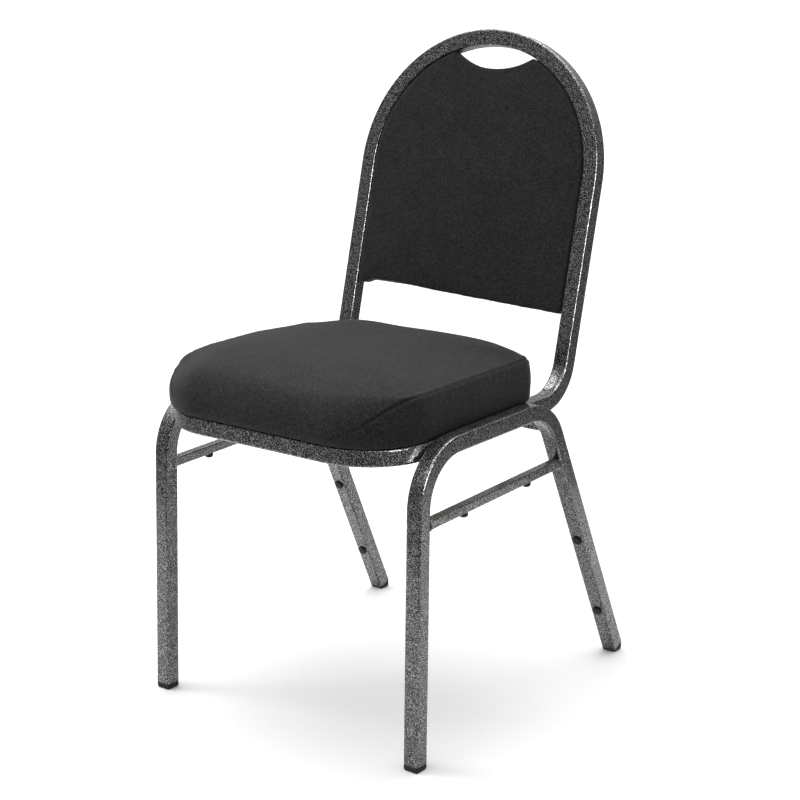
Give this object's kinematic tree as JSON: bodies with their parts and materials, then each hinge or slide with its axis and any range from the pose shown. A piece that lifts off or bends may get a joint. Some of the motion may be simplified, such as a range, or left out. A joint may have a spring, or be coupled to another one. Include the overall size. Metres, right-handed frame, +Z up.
{
  "type": "stacking chair",
  "caption": "Armless stacking chair: welded square-tube frame with raked rear legs, padded seat, and a round-topped upholstered back with a hand-hold.",
  "frame": {"origin": "on the floor, under the middle of the chair's overall box", "axes": "+Z up, the sitter faces -Y, +X is the sitter's left"},
  "size_m": [0.4488, 0.5391, 0.8809],
  "materials": {
    "frame_paint": "satin",
    "black_plastic": "matte",
    "black_cloth": "matte",
    "foam": "matte",
    "plywood": "matte",
    "zinc_steel": "satin"
  },
  "bodies": {
    "root": {"back_board": "plywood", "back_cover_front": "black_cloth", "back_cover_rear": "black_cloth", "back_foam": "foam", "back_hoop": "frame_paint", "front_cross_brace": "frame_paint", "left_front_glide": "black_plastic", "left_front_seat_insert": "zinc_steel", "left_front_seat_screw": "zinc_steel", "left_front_seat_tab": "frame_paint", "left_front_stretcher_bumper": "black_plastic", "left_leg_frame": "frame_paint", "left_lower_back_screw": "zinc_steel", "left_lower_back_tab": "frame_paint", "left_lower_leg_bumper": "black_plastic", "left_rear_glide": "black_plastic", "left_rear_seat_insert": "zinc_steel", "left_rear_seat_screw": "zinc_steel", "left_rear_seat_tab": "frame_paint", "left_rear_stretcher_bumper": "black_plastic", "left_side_stretcher": "frame_paint", "left_upper_back_screw": "zinc_steel", "left_upper_back_tab": "frame_paint", "left_upper_leg_bumper": "black_plastic", "rear_cross_brace": "frame_paint", "right_front_glide": "black_plastic", "right_front_seat_insert": "zinc_steel", "right_front_seat_screw": "zinc_steel", "right_front_seat_tab": "frame_paint", "right_front_stretcher_bumper": "black_plastic", "right_leg_frame": "frame_paint", "right_lower_back_screw": "zinc_steel", "right_lower_back_tab": "frame_paint", "right_lower_leg_bumper": "black_plastic", "right_rear_glide": "black_plastic", "right_rear_seat_insert": "zinc_steel", "right_rear_seat_screw": "zinc_steel", "right_rear_seat_tab": "frame_paint", "right_rear_stretcher_bumper": "black_plastic", "right_side_stretcher": "frame_paint", "right_upper_back_screw": "zinc_steel", "right_upper_back_tab": "frame_paint", "right_upper_leg_bumper": "black_plastic", "seat_board": "plywood", "seat_cover": "black_cloth", "seat_foam": "foam", "seat_front_rail": "frame_paint"}
  },
  "joints": []
}
